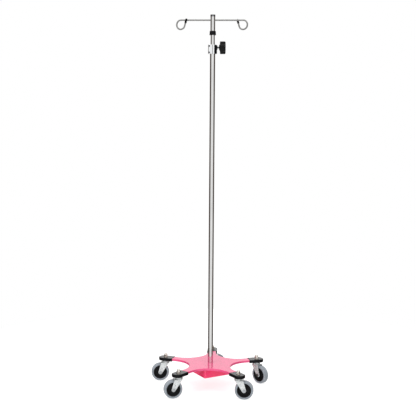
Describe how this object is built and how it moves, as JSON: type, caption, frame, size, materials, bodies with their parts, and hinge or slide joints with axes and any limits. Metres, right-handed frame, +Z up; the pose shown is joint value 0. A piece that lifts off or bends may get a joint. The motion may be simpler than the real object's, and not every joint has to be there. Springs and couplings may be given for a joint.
{
  "type": "rolling iv pole",
  "caption": "Rolling drip stand with a star base on swivel casters, a ballast block, a telescopic steel pole locked by a side knob and a hook rod with a loop at each end.",
  "frame": {"origin": "On the floor, on the pole's axis: the plane that the five tyres stand on.", "axes": "+Z is up along the pole. +X is the side that the clamp knob sticks out to, with the hook rod along X. +Y points along the rear leg of the star base."},
  "size_m": [0.5197, 0.4582, 1.5955],
  "materials": {
    "pink_gloss_coat": "glossy pink powder coat",
    "ballast_gloss_coat": "glossy deep pink coat over cast iron",
    "bolt_steel": "dark plated steel",
    "turned_steel": "turned bright steel",
    "polished_tube": "polished stainless tube",
    "black_nylon": "machined black nylon",
    "clamp_chrome": "bright chrome plate",
    "black_moulding": "satin black moulding",
    "brass_shoe": "machined brass",
    "knob_moulding": "satin black lobed moulding with a fine grain",
    "cap_steel": "turned cap",
    "hook_wire": "satin drawn wire",
    "hook_sleeve": "soft black sleeve",
    "zinc_plate": "bright zinc plated pressing",
    "nut_chrome": "bright plated nut",
    "wheel_core_plastic": "black moulded wheel core",
    "grey_tread": "grey non-marking rubber"
  },
  "bodies": {
    "root": {"base_plate": "pink_gloss_coat", "ballast_block": "ballast_gloss_coat", "ballast_bolts": "bolt_steel", "foot_plug": "turned_steel", "foot_bolt": "bolt_steel", "outer_tube": "polished_tube", "guide_bush": "black_nylon", "clamp_band": "clamp_chrome", "clamp_block": "black_moulding", "clamp_screws": "bolt_steel", "boot_1": "black_moulding", "boot_2": "black_moulding", "boot_3": "black_moulding", "boot_4": "black_moulding", "boot_5": "black_moulding", "stem_1": "zinc_plate", "stem_2": "zinc_plate", "stem_3": "zinc_plate", "stem_4": "zinc_plate", "stem_5": "zinc_plate", "stem_nut_1": "nut_chrome", "stem_nut_2": "nut_chrome", "stem_nut_3": "nut_chrome", "stem_nut_4": "nut_chrome", "stem_nut_5": "nut_chrome"},
    "clamp_shoe": {"clamp_pad": "brass_shoe"},
    "clamp_knob": {"knob": "knob_moulding", "knob_stud": "turned_steel"},
    "glide": {"tube_glide": "black_nylon"},
    "upper_pole": {"inner_tube": "polished_tube", "collar": "black_moulding", "head_tube": "polished_tube", "head_cap": "cap_steel", "hook_rod": "hook_wire", "hook_tips": "hook_sleeve"},
    "caster_1": {"raceway_1": "zinc_plate", "fork_1": "zinc_plate", "axle_1": "turned_steel"},
    "wheel_1": {"wheel_core_1": "wheel_core_plastic", "tyre_1": "grey_tread"},
    "caster_2": {"raceway_2": "zinc_plate", "fork_2": "zinc_plate", "axle_2": "turned_steel"},
    "wheel_2": {"wheel_core_2": "wheel_core_plastic", "tyre_2": "grey_tread"},
    "caster_3": {"raceway_3": "zinc_plate", "fork_3": "zinc_plate", "axle_3": "turned_steel"},
    "wheel_3": {"wheel_core_3": "wheel_core_plastic", "tyre_3": "grey_tread"},
    "caster_4": {"raceway_4": "zinc_plate", "fork_4": "zinc_plate", "axle_4": "turned_steel"},
    "wheel_4": {"wheel_core_4": "wheel_core_plastic", "tyre_4": "grey_tread"},
    "caster_5": {"raceway_5": "zinc_plate", "fork_5": "zinc_plate", "axle_5": "turned_steel"},
    "wheel_5": {"wheel_core_5": "wheel_core_plastic", "tyre_5": "grey_tread"}
  },
  "joints": [
    {"name": "height_slide", "type": "slide", "parent": "root", "child": "glide", "axis": [0, 0, 1], "range_m": [-0.039, 0.62]},
    {"name": "head_turn", "type": "hinge", "parent": "glide", "child": "upper_pole", "pos_m": [0, 0, 1.2], "axis": [0, 0, 1], "continuous": true},
    {"name": "shoe_slide", "type": "slide", "parent": "root", "child": "clamp_shoe", "axis": [1, 0, 0], "range_m": [0, 0.0032]},
    {"name": "knob_turn", "type": "hinge", "parent": "clamp_shoe", "child": "clamp_knob", "pos_m": [0.03, 0, 1.4595], "axis": [1, 0, 0], "range_deg": [0, 900]},
    {"name": "swivel_1", "type": "hinge", "parent": "root", "child": "caster_1", "pos_m": [0, 0.212, 0.085], "axis": [0, 0, 1], "continuous": true},
    {"name": "roll_1", "type": "hinge", "parent": "caster_1", "child": "wheel_1", "pos_m": [0.02007, 0.22605, 0.039], "axis": [-0.5736, 0.8192, 0], "continuous": true},
    {"name": "swivel_2", "type": "hinge", "parent": "root", "child": "caster_2", "pos_m": [-0.20162, 0.06551, 0.085], "axis": [0, 0, 1], "continuous": true},
    {"name": "roll_2", "type": "hinge", "parent": "caster_2", "child": "wheel_2", "pos_m": [-0.22594, 0.06253, 0.039], "axis": [0.1219, -0.9925, 0], "continuous": true},
    {"name": "swivel_3", "type": "hinge", "parent": "root", "child": "caster_3", "pos_m": [-0.12461, -0.17151, 0.085], "axis": [0, 0, 1], "continuous": true},
    {"name": "roll_3", "type": "hinge", "parent": "caster_3", "child": "wheel_3", "pos_m": [-0.14791, -0.17908, 0.039], "axis": [0.309, -0.9511, 0], "continuous": true},
    {"name": "swivel_4", "type": "hinge", "parent": "root", "child": "caster_4", "pos_m": [0.12461, -0.17151, 0.085], "axis": [0, 0, 1], "continuous": true},
    {"name": "roll_4", "type": "hinge", "parent": "caster_4", "child": "wheel_4", "pos_m": [0.1491, -0.17237, 0.039], "axis": [0.0349, 0.9994, 0], "continuous": true},
    {"name": "swivel_5", "type": "hinge", "parent": "root", "child": "caster_5", "pos_m": [0.20162, 0.06551, 0.085], "axis": [0, 0, 1], "continuous": true},
    {"name": "roll_5", "type": "hinge", "parent": "caster_5", "child": "wheel_5", "pos_m": [0.21925, 0.04849, 0.039], "axis": [0.6947, 0.7193, 0], "continuous": true}
  ],
  "couplings": [
    {"joint": "shoe_slide", "follows": "knob_turn", "m_per_rad": 0.00019894}
  ]
}
